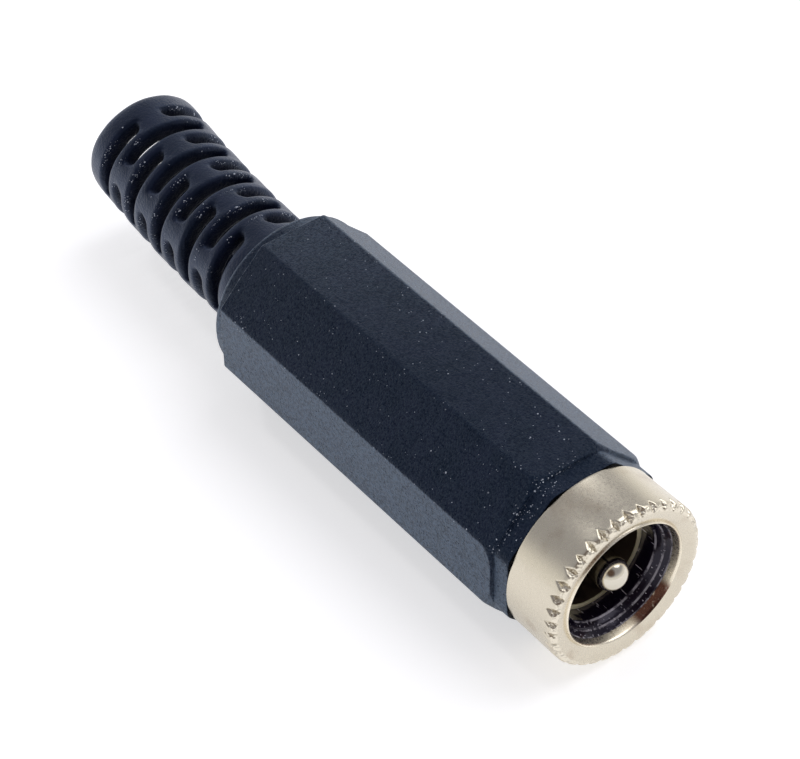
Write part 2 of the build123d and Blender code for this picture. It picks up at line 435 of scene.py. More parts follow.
class GeometryTree(NodeWork):
    """A Geometry Nodes tree with named sizes, made for one kind of repeat or bend."""

    def __init__(self, name: str) -> None:
        """Starts a tree that takes a mesh and gives one back.

        Args:
            name: Name of the tree.
        """
        super().__init__(bpy.data.node_groups.new(name, "GeometryNodeTree"))
        for way in ("INPUT", "OUTPUT"):
            self.tree.interface.new_socket("Geometry", in_out=way, socket_type="NodeSocketGeometry")
        self.group_in = self.node("NodeGroupInput")
        self.group_out = self.node("NodeGroupOutput")
        self.keys: dict[str, str] = {}

    def size(self, name: str, kind: str = "NodeSocketFloat") -> bpy.types.NodeSocket:
        """Adds a named input.

        Args:
            name: Name of the input.
            kind: Its socket type.

        Returns:
            The socket that carries it inside the tree.
        """
        item = self.tree.interface.new_socket(name, in_out="INPUT", socket_type=kind)
        self.keys[name] = item.identifier
        return self.group_in.outputs[name]

    def vector(self, *parts: object) -> bpy.types.NodeSocket:
        """Combines three sockets or numbers to a vector."""
        return self.feed(self.node("ShaderNodeCombineXYZ"), *parts).outputs[0]

    def position(self) -> tuple[bpy.types.NodeSocket, ...]:
        """Gives the X, Y and Z of each point."""
        return self.split(self.node("GeometryNodeInputPosition").outputs[0])

    def move_points(self, key: str, place: bpy.types.NodeSocket) -> None:
        """Moves the points and ends the tree in Realize Instances and Set Material.

        Args:
            key: Offset or Position.
            place: Where the points go.
        """
        finish = self.size("Finish", "NodeSocketMaterial")
        move = self.node("GeometryNodeSetPosition")
        real = self.node("GeometryNodeRealizeInstances")
        dress = self.node("GeometryNodeSetMaterial")
        self.join(self.group_in.outputs["Geometry"], move.inputs["Geometry"])
        self.join(place, move.inputs[key])
        self.join(move.outputs[0], real.inputs["Geometry"])
        self.join(real.outputs[0], dress.inputs["Geometry"])
        self.join(finish, dress.inputs["Material"])
        self.join(dress.outputs[0], self.group_out.inputs[0])

    def run(self, obj: bpy.types.Object, edges: Edges, **sizes: object) -> None:
        """Runs the tree on an object and keeps the result as its plain mesh.

        Args:
            obj: Object whose mesh goes in, with what modifiers it has.
            edges: Which edges of the result stay crisp.
            **sizes: Values of the named inputs, with spaces as underscores.
        """
        modifier = obj.modifiers.new(self.tree.name, "NODES")
        modifier.node_group = self.tree
        for name, value in sizes.items():
            modifier[self.keys[name.replace("_", " ")]] = value
        evaluated = obj.evaluated_get(bpy.context.evaluated_depsgraph_get())
        mesh = bpy.data.meshes.new_from_object(evaluated)
        obj.modifiers.clear()
        obj.data = mesh
        mesh.name = obj.name
        mesh.shade_smooth()
        mesh.set_sharp_from_angle(angle=math.radians(edges.value))


class Finish(NodeWork):
    """Shader graph of one finish, on Object coordinates."""

    def __init__(self, name: str) -> None:
        """Starts a material with one Principled shader.

        Args:
            name: Name of the material.
        """
        self.material = bpy.data.materials.new(name)
        self.material.use_nodes = True
        super().__init__(self.material.node_tree)
        self.tree.nodes.clear()
        self.shader = self.node("ShaderNodeBsdfPrincipled")
        self.feed(self.node("ShaderNodeOutputMaterial"), self.shader.outputs[0])
        self.place = self.node("ShaderNodeTexCoord").outputs["Object"]

    def noise(self, grain: Grain) -> bpy.types.NodeSocket:
        """Adds noise, about 0.5 in the mean."""
        node = self.node("ShaderNodeTexNoise")
        self.join(1 / (grain.size * MM), node.inputs["Scale"])
        self.join(grain.detail, node.inputs["Detail"])
        self.join(grain.rough, node.inputs["Roughness"])
        self.join(self.place, node.inputs["Vector"])
        return node.outputs["Fac"]

    def along_axis(self) -> bpy.types.NodeSocket:
        """Gives the place along the axis, in metres."""
        return self.split(self.place)[0]

    def from_axis(self) -> bpy.types.NodeSocket:
        """Gives the distance from the axis, in metres."""
        return self.hypotenuse(*self.split(self.place)[1:])

    def reach_along(self, way: Place) -> bpy.types.NodeSocket:
        """Gives the place along a way that is given as a unit vector, in metres."""
        return self.measure("DOT_PRODUCT", self.place, way)

    def near(self, place: Place, reach: float, fade: float) -> bpy.types.NodeSocket:
        """Marks the surroundings of a place, in full up to the reach, in millimetres."""
        away = self.measure("DISTANCE", self.place, tuple(value * MM for value in place))
        return self.between(away, Fade(reach, reach + fade, 1.0, 0.0), MM)

    def line(self, value: bpy.types.NodeSocket, middle: float, half: float) -> bpy.types.NodeSocket:
        """Marks a thin line where a length in metres is close to one in millimetres."""
        off = self.math("ABSOLUTE", self.math("SUBTRACT", value, middle * MM))
        return self.between(off, Fade(LINE_CORE * half, half, 1.0, 0.0), MM)

    def facing(self) -> bpy.types.NodeSocket:
        """Gives 0 where the surface is seen square on and 1 where it is seen edge on."""
        return self.node("ShaderNodeLayerWeight").outputs["Facing"]

    def specks(self, *kinds: Specks) -> bpy.types.NodeSocket:
        """Adds specks of several kinds: their glow inside a speck, zero outside."""
        return self.highest(*(self.one_kind(kind) for kind in kinds))

    def one_kind(self, kind: Specks) -> bpy.types.NodeSocket:
        """Adds specks of one kind, each with a size and a glow of its own."""
        cells = self.node("ShaderNodeTexVoronoi")
        self.join(1 / (kind.spacing * MM), cells.inputs["Scale"])
        self.join(self.place, cells.inputs["Vector"])
        chances = self.node("ShaderNodeSeparateColor")
        self.join(cells.outputs["Color"], chances.inputs[0])
        chosen = self.math("LESS_THAN", chances.outputs[0], kind.share)
        reach = self.product(chances.outputs[1], SPECK_SPREAD * kind.size / kind.spacing)
        inside = self.math("LESS_THAN", cells.outputs["Distance"], reach)
        return self.product(chosen, inside, self.between(chances.outputs[2], SPECK_GLOW))

    def scratches(self, kind: Scratches) -> bpy.types.NodeSocket:
        """Adds scratches, as specks in space that is drawn out along one way.

        Args:
            kind: Turn and sizes of the scratches.

        Returns:
            The scratches' glow inside a scratch, zero outside.
        """
        drawn = self.node("ShaderNodeMapping")
        self.join(kind.turn, drawn.inputs["Rotation"])
        self.join((SCRATCH_SPACING / kind.length, 1.0, 1.0), drawn.inputs["Scale"])
        self.join(self.place, drawn.inputs["Vector"])
        plain = self.place
        self.place = drawn.outputs[0]
        marks = self.specks(Specks(SCRATCH_SPACING, kind.width, kind.share))
        self.place = plain
        return marks

    def roughness(self, pattern: bpy.types.NodeSocket, gloss: Gloss, spread: Fade) -> bpy.types.NodeSocket:
        """Varies a finish's roughness over a pattern, by the changes that end the spread."""
        ends = (gloss.value + spread.start, gloss.value + spread.end)
        return self.between(pattern, Fade(spread.low, spread.high, *ends))

    def bump(self, height: bpy.types.NodeSocket, depth: float, under: object = None) -> bpy.types.NodeSocket:
        """Adds a bump.

        Args:
            height: Height of the surface, from 0 to 1.
            depth: Height of 1 in millimetres.
            under: Bump that this one lies on.

        Returns:
            The bumped normal.
        """
        node = self.node("ShaderNodeBump")
        self.join(depth * MM, node.inputs["Distance"])
        self.join(height, node.inputs["Height"])
        if under is not None:
            self.join(under, node.inputs["Normal"])
        return node.outputs[0]

    def set(self, **values: object) -> None:
        """Sets or links sockets of the shader, named with underscores for spaces."""
        for name, value in values.items():
            self.join(value, self.shader.inputs[name.replace("_", " ")])


@dataclass(frozen=True)
class GrainedPlastic:
    """Black nylon from a spark-eroded mould: fine grain, pits, pale dust, nicks and chips, with painted
    highlights on two edges and a painted shadow line.
    """

    name: str = "handle_plastic"
    colour: Colour = (0.0036, 0.0088, 0.0225)
    patch_colour: Colour = (0.0076, 0.0125, 0.03)
    speck_colour: Colour = (0.55, 0.6, 0.7)
    gap_shade_colour: Colour = (0.0005, 0.0005, 0.0005)
    sheen: Colour = (0.55, 0.74, 1.0)
    gloss: Gloss = Gloss.GRAINED
    rough_spread: Fade = Fade(0.3, 0.7, -0.14, 0.06)
    grain: Grain = Grain(0.085, 2.0, 0.7)
    grain_depth: float = 0.045
    grain_shine: Fade = Fade(0.3, 0.62, 0.4, 1.3)
    coarse_grain: Grain = Grain(0.16, 2.0, 0.65)
    coarse_depth: float = 0.05
    coarse_shine: Fade = Fade(0.32, 0.6, 0.5, 1.2)
    slant_shine: Fade = Fade(0.3, 0.58, 0.28, 1.7)
    hollow_shine: Fade = Fade(0.0, 1.0, 1.0, 0.1)
    patches: Grain = Grain(1.9, 4.0, 0.6)
    patch_edge: Fade = Fade(0.35, 0.7)
    dust: tuple[Specks, ...] = (Specks(0.6, 0.045, 0.25), Specks(0.3, 0.03, 0.2), Specks(0.2, 0.022, 0.2))
    pits: tuple[Specks, ...] = (Specks(0.17, 0.048, 0.7), Specks(0.12, 0.034, 0.6))
    gap_shade_place: float = -3.75
    gap_shade_half: float = 0.045
    corner_radii: Fade = Fade(5.66, 5.72)
    nicks: Specks = Specks(0.17, 0.04, 0.14)
    highlight_places: tuple[float, ...] = (-29.4, -30.16)
    highlight_half: float = 0.06
    highlight_radii: Fade = Fade(5.2, 5.24)
    highlight_grain: Grain = Grain(0.5, 3.0, 0.7)
    highlight_breaks: Fade = Fade(0.42, 0.6, 0.0, 0.45)
    torn_specks_and_glint_breaks: tuple[Specks, ...] = (Specks(0.17, 0.042, 0.5), Specks(0.12, 0.03, 0.4))
    chip_fade: float = 0.4
    chips: tuple[Chips, ...] = (
        Chips((-5.0, -1.0, 5.3), 1.4, 0.14),
        Chips((-4.75, -2.2, 4.6), 1.2, 0.4),
        Chips((-4.75, -3.9, 3.4), 0.9, 0.2),
        Chips((-4.95, -5.2, 2.3), 0.25, 0.3),
        Chips((-30.15, -2.8, 4.4), 0.25, 0.2),
        Chips((-27.6, -5.3, 2.3), 0.4, 0.4),
        Chips((-30.25, -4.75, 2.75), 0.5, 0.25),
    )

    def make(self) -> bpy.types.Material:
        """Builds the material."""
        finish = Finish(self.name)
        grain = finish.noise(self.grain)
        coarse = finish.noise(self.coarse_grain)
        patches = finish.between(finish.noise(self.patches), self.patch_edge)
        # Painted shadow: a near-black line round the grip where it meets the nose's back, which also cuts the
        # shine
        gap = finish.line(finish.along_axis(), self.gap_shade_place, self.gap_shade_half)
        dust = finish.specks(*self.dust)
        # Pale marks: real dust, chips and nicks, and the painted edge highlights
        marks = finish.highest(dust, self.edge_highlights(finish), self.chipped(finish), self.nicked(finish))
        tint = finish.mix(marks, finish.mix(patches, self.colour, self.patch_colour), self.speck_colour)
        shine = finish.product(
            finish.between(finish.facing(), self.slant_shine),
            finish.between(grain, self.grain_shine),
            finish.between(coarse, self.coarse_shine),
            finish.between(finish.highest(gap, finish.specks(*self.pits)), self.hollow_shine),
        )
        finish.set(
            Base_Color=finish.mix(gap, tint, self.gap_shade_colour),
            Roughness=finish.roughness(grain, self.gloss, self.rough_spread),
            Specular_IOR_Level=shine,
            Specular_Tint=self.sheen,
            Normal=finish.bump(coarse, self.coarse_depth, finish.bump(grain, self.grain_depth)),
        )
        return finish.material

    def nicked(self, finish: Finish) -> bpy.types.NodeSocket:
        """Gives the fine pale nicks along the octagon's corners."""
        corners = finish.between(finish.from_axis(), self.corner_radii, MM)
        return finish.product(corners, finish.specks(self.nicks))

    def edge_highlights(self, finish: Finish) -> bpy.types.NodeSocket:
        """Gives the thin broken pale lines painted on edges across the axis as highlights.

        Args:
            finish: Shader graph that the lines are for.

        Returns:
            The share of the pale colour, from 0 to 1.
        """
        x = finish.along_axis()
        lines = [finish.line(x, place, self.highlight_half) for place in self.highlight_places]
        outside = finish.between(finish.from_axis(), self.highlight_radii, MM)
        breaks = finish.between(finish.noise(self.highlight_grain), self.highlight_breaks)
        return finish.product(finish.highest(*lines), outside, breaks)

    def chipped(self, finish: Finish) -> bpy.types.NodeSocket:
        """Gives the specks where the moulding's edges are torn.

        Args:
            finish: Shader graph that the specks are for.

        Returns:
            The share of the pale colour, from 0 to 1.
        """
        x = finish.along_axis()
        areas = []
        for chips in self.chips:
            area = finish.near(chips.middle, chips.reach, self.chip_fade)
            band = finish.line(x, chips.middle[0], 2 * chips.half_width)
            areas.append(finish.product(area, band))
        return finish.product(finish.highest(*areas), finish.specks(*self.torn_specks_and_glint_breaks))


@dataclass(frozen=True)
class SmoothPlastic:
    """The same nylon where the mould was smooth: a faint ripple, a soft shine, and painted glints along the
    rib edges.
    """

    tail_start: float
    first_edge: float
    last_edge: float
    edge_pitch: float
    bend_radius: float
    bend_turn: float
    skin: float
    name: str = "tail_plastic"
    colour: Colour = (0.0042, 0.0067, 0.0175)
    patch_colour: Colour = (0.008, 0.011, 0.028)
    glint_colour: Colour = (0.6, 0.65, 0.75)
    sheen: Colour = (0.5, 0.66, 1.0)
    gloss: Gloss = Gloss.MOULDED
    rough_spread: Fade = Fade(0.3, 0.7, -0.06, 0.06)
    slant_shine: Fade = Fade(0.1, 0.62, 0.2, 1.1)
    slot_depth: float = 0.5
    slot_shine: float = 0.25
    ripple: Grain = Grain(0.16, 3.0, 0.6)
    ripple_depth: float = 0.06
    patches: Grain = Grain(1.6)
    patch_edge: Fade = Fade(0.35, 0.7)
    dust: Specks = Specks(0.45, 0.035, 0.12)
    glints: tuple[Specks, ...] = (Specks(0.13, 0.042, 0.5), Specks(0.09, 0.03, 0.4))
    glint_half: float = 0.15
    glint_depth: float = 0.15
    row_margin: float = 0.3
    torn_specks_and_glint_breaks: Grain = Grain(1.5)
    glint_cluster_edge: Fade = Fade(0.5, 0.56)

    def make(self) -> bpy.types.Material:
        """Builds the material."""
        finish = Finish(self.name)
        patches = finish.noise(self.patches)
        run, radius = self.round_the_bend(finish)
        # Painted glints along the rib edges, together with real dust, in the pale colour
        specks = finish.highest(self.painted_rib_glints(finish, run, radius), finish.specks(self.dust))
        tint = finish.mix(finish.between(patches, self.patch_edge), self.colour, self.patch_colour)
        # Painted shade: the shine fades deep inside the slots
        shade = Fade(self.skin - self.slot_depth, self.skin, self.slot_shine, 1.0)
        slant = finish.between(finish.facing(), self.slant_shine)
        finish.set(
            Base_Color=finish.mix(specks, tint, self.glint_colour),
            Roughness=finish.roughness(patches, self.gloss, self.rough_spread),
            Specular_IOR_Level=finish.product(slant, finish.between(radius, shade, MM)),
            Specular_Tint=self.sheen,
            Normal=finish.bump(finish.noise(self.ripple), self.ripple_depth),
        )
        return finish.material

    def round_the_bend(self, finish: Finish) -> tuple[bpy.types.NodeSocket, bpy.types.NodeSocket]:
        """Gives the place in the bent tail.

        Args:
            finish: Shader graph that the place is for.

        Returns:
            The length along the tail's bent axis and the distance from it, in metres.
        """
        turn = math.radians(self.bend_turn)
        up = finish.reach_along((0.0, math.sin(turn), math.cos(turn)))
        aside = finish.reach_along((0.0, math.cos(turn), -math.sin(turn)))
        behind = finish.math("SUBTRACT", self.tail_start * MM, finish.along_axis())
        arm = finish.math("SUBTRACT", self.bend_radius * MM, up)
        run = finish.product(finish.math("ARCTAN2", behind, arm), self.bend_radius * MM)
        rise = finish.math("SUBTRACT", self.bend_radius * MM, finish.hypotenuse(behind, arm))
        return run, finish.hypotenuse(rise, aside)

    def painted_rib_glints(
        self,
        finish: Finish,
        run: bpy.types.NodeSocket,
        radius: bpy.types.NodeSocket,
    ) -> bpy.types.NodeSocket:
        """Gives the painted glints: pale specks on the outside, along the far edge of each row of slots.

        Args:
            finish: Shader graph that the glints are for.
            run: Length along the tail's axis.
            radius: Distance from the tail's axis.

        Returns:
            The share of the pale colour, from 0 to 1.
        """
        half = self.edge_pitch * MM / 2
        off = finish.math("WRAP", finish.math("SUBTRACT", run, self.first_edge * MM), half, -half)
        return finish.product(
            finish.line(off, 0.0, self.glint_half),
            finish.between(radius, Fade(self.skin - self.glint_depth, self.skin), MM),
            finish.math("GREATER_THAN", run, (self.first_edge - self.row_margin) * MM),
            finish.math("LESS_THAN", run, (self.last_edge + self.row_margin) * MM),
            finish.between(finish.noise(self.torn_specks_and_glint_breaks), self.glint_cluster_edge),
            finish.specks(*self.glints),
        )


@dataclass(frozen=True)
class ScratchedPlastic:
    """Glossy black moulding with fine pale scratches, and pale lines painted on the step edges as highlights.
    """

    name: str = "body_plastic"
    colour: Colour = (0.006, 0.004, 0.011)
    scratch_colour: Colour = (0.6, 0.57, 0.63)
    sheen: Colour = (0.85, 0.8, 1.0)
    shine: float = 0.3
    gloss: Gloss = Gloss.POLISHED
    scratches: tuple[Scratches, ...] = (
        Scratches((0.35, 1.0, -0.5), 2.2, 0.026, 0.75),
        Scratches((1.0, -0.3, 0.6), 1.8, 0.026, 0.75),
        Scratches((0.2, 0.4, 1.1), 0.9, 0.026, 0.8),
    )
    dust: Specks = Specks(0.3, 0.03, 0.2)
    step_highlights: tuple[float, ...] = (3.78, 3.56, 3.3)
    step_half: float = 0.04
    step_grain: Grain = Grain(0.9, 3.0, 0.7)
    step_breaks: Fade = Fade(0.4, 0.62, 0.0, 0.6)
    ripple: Grain = Grain(0.5, 3.0)
    ripple_depth: float = 0.03

    def make(self) -> bpy.types.Material:
        """Builds the material."""
        finish = Finish(self.name)
        radius = finish.from_axis()
        # Painted highlights: broken pale lines on the edges of the funnel's step and of the bore
        steps = finish.highest(*(finish.line(radius, step, self.step_half) for step in self.step_highlights))
        breaks = finish.between(finish.noise(self.step_grain), self.step_breaks)
        scratches = [finish.scratches(kind) for kind in self.scratches]
        marks = finish.highest(*scratches, finish.specks(self.dust), finish.product(steps, breaks))
        finish.set(
            Base_Color=finish.mix(marks, self.colour, self.scratch_colour),
            Roughness=self.gloss.value,
            Specular_IOR_Level=self.shine,
            Specular_Tint=self.sheen,
            Normal=finish.bump(finish.noise(self.ripple), self.ripple_depth),
        )
        return finish.material


@dataclass(frozen=True)
class Plating:
    """Metal plating with smudges, pits and a fine tooth; where its fields say so, a painted brown reflection
    patch, and dented notch walls with a painted highlight.
    """

    name: str
    colour: Colour
    smudge: Colour
    gloss: Gloss
    smudge_size: float = 1.8
    pit_share: float = 0.1
    smudge_edge: Fade = Fade(0.5, 0.78)
    pit_spacing: float = 1.5
    pit_size: float = 0.05
    pit_colour: Colour = (0.12, 0.09, 0.07)
    tooth: Grain = Grain(0.16, 1.0)
    tooth_depth: float = 0.0006
    rough_spread: Fade = Fade(0.25, 0.75, -0.05, 0.01)
    # Painted reflection: a brown patch mixed into the colour round a middle, standing in for a dark thing
    # that the metal reflects
    painted_reflection: Colour = (0.16, 0.075, 0.055)
    reflection_middle: Place = (0.0, 0.0, 0.0)
    reflection_reach: float = 0.0
    reflection_fade: float = 0.6
    reflection_grain: Grain = Grain(0.3)
    reflection_breaks: Fade = Fade(0.2, 0.42)
    notch_highlight: Colour = (0.77, 0.71, 0.59)
    notch_roughness: float = 0.04
    dents: Grain = Grain(0.26, 1.0)
    dent_depth: float = 0.0
    notch_foot: Fade = Fade(4.8, 4.9)
    notch_top: Fade = Fade(5.14, 5.2, 1.0, 0.0)
    notch_back: Fade = Fade(-1.1, -1.0)

    def make(self) -> bpy.types.Material:
        """Builds the material."""
        finish = Finish(self.name)
        smudges = finish.between(finish.noise(Grain(self.smudge_size, 3.0)), self.smudge_edge)
        colour = finish.mix(smudges, self.colour, self.smudge)
        tooth = finish.noise(self.tooth)
        normal = finish.bump(tooth, self.tooth_depth)
        rough = finish.roughness(tooth, self.gloss, self.rough_spread)
        # Painted reflection: the brown patch round its middle, broken up by noise
        if self.reflection_reach > 0:
            reflection_patch = finish.near(self.reflection_middle, self.reflection_reach, self.reflection_fade)
            breaks = finish.between(finish.noise(self.reflection_grain), self.reflection_breaks)
            colour = finish.mix(finish.product(reflection_patch, breaks), colour, self.painted_reflection)
        # Notch walls: dents, a little more roughness, and a painted highlight mixed into the colour
        if self.dent_depth > 0:
            pressed = self.pressed(finish)
            dents = finish.math("SUBTRACT", finish.noise(self.dents), 0.5)
            normal = finish.bump(finish.product(pressed, dents), self.dent_depth, normal)
            colour = finish.mix(pressed, colour, self.notch_highlight)
            rough = finish.math("ADD", rough, finish.product(pressed, self.notch_roughness))
        pits = finish.specks(Specks(self.pit_spacing, self.pit_size, self.pit_share))
        finish.set(
            Base_Color=finish.mix(pits, colour, self.pit_colour),
            Metallic=1.0,
            Roughness=rough,
            Normal=normal,
        )
        return finish.material

    def pressed(self, finish: Finish) -> bpy.types.NodeSocket:
        """Marks the walls of the notches, which are dented and painted brighter as a highlight.

        Args:
            finish: Shader graph that the mark is for.

        Returns:
            One on the walls, zero away from them.
        """
        radius = finish.from_axis()
        return finish.product(
            finish.between(radius, self.notch_foot, MM),
            finish.between(radius, self.notch_top, MM),
            finish.between(finish.along_axis(), self.notch_back, MM),
        )


NICKEL = Plating("nickel", (0.66, 0.605, 0.495), (0.55, 0.48, 0.38), Gloss.PLATED, dent_depth=0.16)
# Nickel of the mouth's lip: lighter than the nose's nickel as painted light, with the painted brown
# reflection patch
LIP_NICKEL_PAINTED_LIGHT = Plating(
    "lip_nickel_painted_light",
    (0.86, 0.79, 0.65),
    (0.72, 0.63, 0.5),
    Gloss.PLATED,
    reflection_middle=(-0.45, 2.3, -3.06),
    reflection_reach=1.05,
)
PIN_NICKEL = Plating(
    "pin_nickel",
    (0.64, 0.6, 0.51),
    (0.5, 0.44, 0.36),
    Gloss.POLISHED,
    smudge_size=0.7,
    pit_share=0.02,
)
# Lit and shaded copies of one bronze: the light one is painted light on the sleeve's front edge, the dark one
# painted shade on its walls
BRONZE_PAINTED_LIGHT = Plating("contact_bronze", (0.95, 0.86, 0.6), (0.8, 0.7, 0.45), Gloss.GRAINED)
BRONZE_PAINTED_SHADE = Plating("contact_bronze_painted_shade", (0.2, 0.155, 0.12), (0.08, 0.055, 0.06), Gloss.GRAINED)
TIN = Plating("lug_tin", (0.62, 0.61, 0.58), (0.5, 0.49, 0.46), Gloss.PLATED)


@dataclass(frozen=True)
class Cage:
    """Ring of a pierced wall's cage: its place along the wall, its radii and its slot row."""

    run: float
    outer: float
    inner: float
    row: int = -1
    part: SlotPart = SlotPart.NONE


@dataclass
class PiercedTube:
    """Round wall made as a cage of quads, some of which are left open."""

    name: str
    rings: list[Cage]
    lines: list[float]
    is_open: Callable[[int, int], bool]
    place: Callable[[int, int, float], Vector]
    lips: tuple[float, float] = (0.15, 0.85)
    points: list[Vector] = field(default_factory=list)
    faces: list[Face] = field(default_factory=list)
    known: dict[tuple[int, int, int], int] = field(default_factory=dict)

    def corner(self, ring: int, line: int, level: int) -> int:
        """Gives the index of a cage point, which is made when it is first asked for.

        Args:
            ring: Index along the wall.
            line: Index round the wall.
            level: 0 on the outside, 3 on the inside, 1 and 2 between.

        Returns:
            The index.
        """
        key = (ring, line % len(self.lines), level)
        if key not in self.known:
            cage = self.rings[ring]
            share = (0.0, *self.lips, 1.0)[level]
            radius = cage.outer + (cage.inner - cage.outer) * share
            self.known[key] = len(self.points)
            self.points.append(self.place(key[0], key[1], radius))
        return self.known[key]

    def wall(self, start: Point, end: Point) -> None:
        """Adds the wall through the thickness along one edge of the cage."""
        for level in range(3):
            self.faces.append((
                self.corner(*start, level),
                self.corner(*end, level),
                self.corner(*end, level + 1),
                self.corner(*start, level + 1),
            ))

    def build(self, edges: Edges) -> bpy.types.Object:
        """Makes the object of the cage.

        Args:
            edges: Which edges stay crisp.

        Returns:
            The object.
        """
        last = len(self.rings) - 1
        count = len(self.lines)
        for ring in range(last):
            for line in range(count):
                if self.is_open(ring, line):
                    continue
                for level in (0, 3):
                    self.faces.append(tuple(
                        self.corner(ring + i, line + j, level) for i, j in ((0, 0), (1, 0), (1, 1), (0, 1))
                    ))
                if ring == 0 or self.is_open(ring - 1, line):
                    self.wall((ring, line), (ring, line + 1))
                if ring == last - 1 or self.is_open(ring + 1, line):
                    self.wall((ring + 1, line), (ring + 1, line + 1))
                if self.is_open(ring, (line - 1) % count):
                    self.wall((ring, line), (ring + 1, line))
                if self.is_open(ring, (line + 1) % count):
                    self.wall((ring, line + 1), (ring + 1, line + 1))
        return mesh_piece(self.name, self.points, self.faces, edges)


def subdivide(obj: bpy.types.Object, levels: int) -> None:
    """Adds a Subdivision Surface modifier with the same level in view and render."""
    modifier = obj.modifiers.new("round", "SUBSURF")
    modifier.levels = levels
    modifier.render_levels = levels


def dress(obj: bpy.types.Object, *materials: bpy.types.Material) -> None:
    """Gives an object its materials in place of any that it has."""
    obj.data.materials.clear()
    for material in materials:
        obj.data.materials.append(material)


def join_pieces(first: bpy.types.Object, *others: bpy.types.Object) -> bpy.types.Object:
    """Joins the meshes of objects that are one moulding.

    Args:
        first: Object that keeps its name.
        *others: Objects that become part of it.

    Returns:
        The first object.
    """
    with bpy.context.temp_override(active_object=first, selected_editable_objects=[first, *others]):
        bpy.ops.object.join()
    return first


